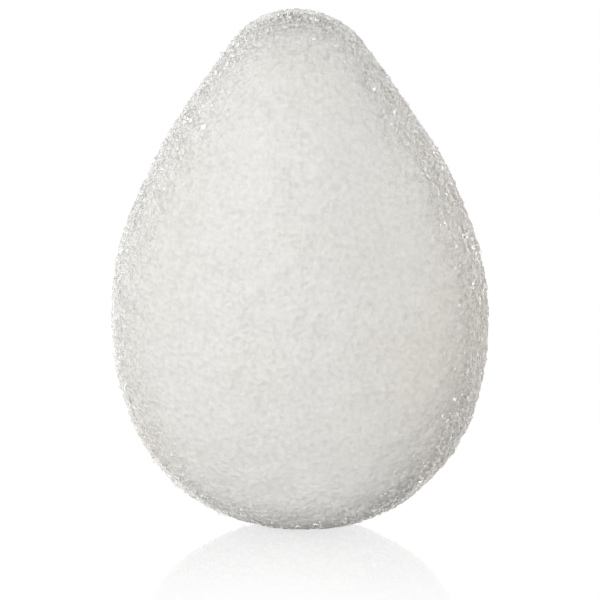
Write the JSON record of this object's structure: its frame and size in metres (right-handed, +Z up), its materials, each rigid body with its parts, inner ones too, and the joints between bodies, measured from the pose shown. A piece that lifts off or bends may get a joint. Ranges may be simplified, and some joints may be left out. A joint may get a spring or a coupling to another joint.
{
  "type": "konjac facial sponge",
  "caption": "Teardrop facial cleansing sponge of off-white open-cell konjac foam, with a crowned face, a flat back and a soft rim, standing on its broad end.",
  "frame": {"origin": "middle of the footprint, at the level of the flat pressed into the broad end that the sponge stands on", "axes": "+Z up along the sponge to its tip, -Y the way the crowned face looks, +Y the way the flat back looks, +X to the right seen from the front"},
  "size_m": [0.0575, 0.0301, 0.08],
  "materials": {
    "konjac_foam": "off-white open-cell root-fibre foam, matt, with small glassy glints on the cell walls along the rim"
  },
  "bodies": {
    "root": {"sponge_body": "konjac_foam"}
  },
  "joints": []
}
